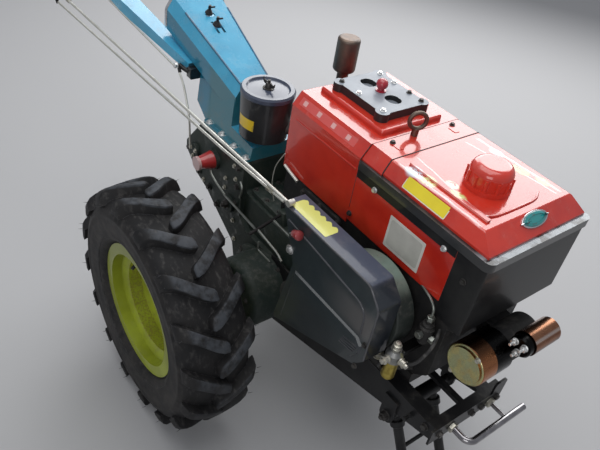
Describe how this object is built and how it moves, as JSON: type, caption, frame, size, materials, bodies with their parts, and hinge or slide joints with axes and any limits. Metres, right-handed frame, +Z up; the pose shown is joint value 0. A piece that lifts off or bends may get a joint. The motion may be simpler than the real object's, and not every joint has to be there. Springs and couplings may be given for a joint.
{
  "type": "walking tractor",
  "caption": "Walk-behind tractor with a flat diesel engine, belt drive, long handlebars, lugged farm tyres and a folding front stand.",
  "frame": {"origin": "on the floor under the middle of the machine's box", "axes": "+X forward to the guard bar, +Y to the driver's left, +Z up"},
  "size_m": [2.2067, 0.937, 1.0093],
  "materials": {
    "tyre": "matt moulded rubber",
    "rim_paint": "gloss yellow-green paint",
    "cast_dark": "dark painted casting",
    "cast_green": "dark green painted casting",
    "black_paint": "satin black paint",
    "engine_black": "black painted casting",
    "cover_black": "satin black",
    "bright_steel": "plated steel",
    "dark_steel": "dark steel",
    "red_paint": "gloss red paint",
    "belt_rubber": "matt rubber",
    "flywheel_paint": "grey-green painted casting",
    "guard_paint": "satin slate paint",
    "zinc": "yellow zinc plate",
    "filter": "cast aluminium",
    "red_plastic": "red plastic",
    "blue_paint": "gloss sky blue paint",
    "grip_rubber": "matt rubber"
  },
  "bodies": {
    "wheel_right": {"tyre_right": "tyre", "rim_right": "rim_paint", "hub_right": "cast_dark"},
    "wheel_left": {"tyre_left": "tyre", "rim_left": "rim_paint", "hub_left": "cast_dark"},
    "front_stand": {"front_stand": "black_paint"},
    "chassis": {"axle_housing_right": "cast_green", "axle_housing_left": "cast_green", "gearbox_case": "cast_green", "gearbox_cover_right": "cast_green", "gearbox_cover_left": "cast_green", "hitch_bracket": "cast_green", "frame_rail_right": "black_paint", "frame_rail_left": "black_paint", "front_cross_member": "black_paint", "front_guard_bar": "bright_steel", "stand_pivot": "black_paint", "engine_block": "engine_black", "cylinder_head": "engine_black", "radiator_hood": "red_paint", "hood_bridge": "red_paint", "radiator_cover": "cover_black", "fuel_tank": "red_paint", "tank_cap": "red_paint", "tank_band": "black_paint", "side_panel_right": "red_paint", "side_panel_left": "red_paint", "front_shroud": "black_paint", "lifting_eye": "dark_steel", "drive_belts": "belt_rubber", "engine_pulley": "cast_dark", "clutch_pulley": "cast_dark", "flywheel": "flywheel_paint", "belt_guard": "guard_paint", "guard_bracket": "black_paint", "air_cleaner": "black_paint", "intake_elbow": "cast_dark", "exhaust_pipe": "dark_steel", "muffler": "dark_steel", "starter_motor": "zinc", "starter_body": "engine_black", "starter_solenoid": "zinc", "fuel_filter": "filter", "shaft_cap": "red_plastic", "handle_column": "blue_paint", "handlebar_right": "blue_paint", "handlebar_left": "blue_paint", "grip_right": "grip_rubber", "grip_left": "grip_rubber", "clutch_lever": "bright_steel", "clutch_rod": "bright_steel"}
  },
  "joints": [
    {"name": "wheel_right_spin", "type": "hinge", "parent": "chassis", "child": "wheel_right", "pos_m": [0.33783, -0.376, 0.32], "axis": [0, 1, 0], "continuous": true},
    {"name": "wheel_left_spin", "type": "hinge", "parent": "chassis", "child": "wheel_left", "pos_m": [0.33783, 0.376, 0.32], "axis": [0, 1, 0], "continuous": true},
    {"name": "front_stand_fold", "type": "hinge", "parent": "chassis", "child": "front_stand", "pos_m": [0.90284, -0.015, 0.335], "axis": [0, 1, 0], "range_deg": [0, 100]}
  ]
}
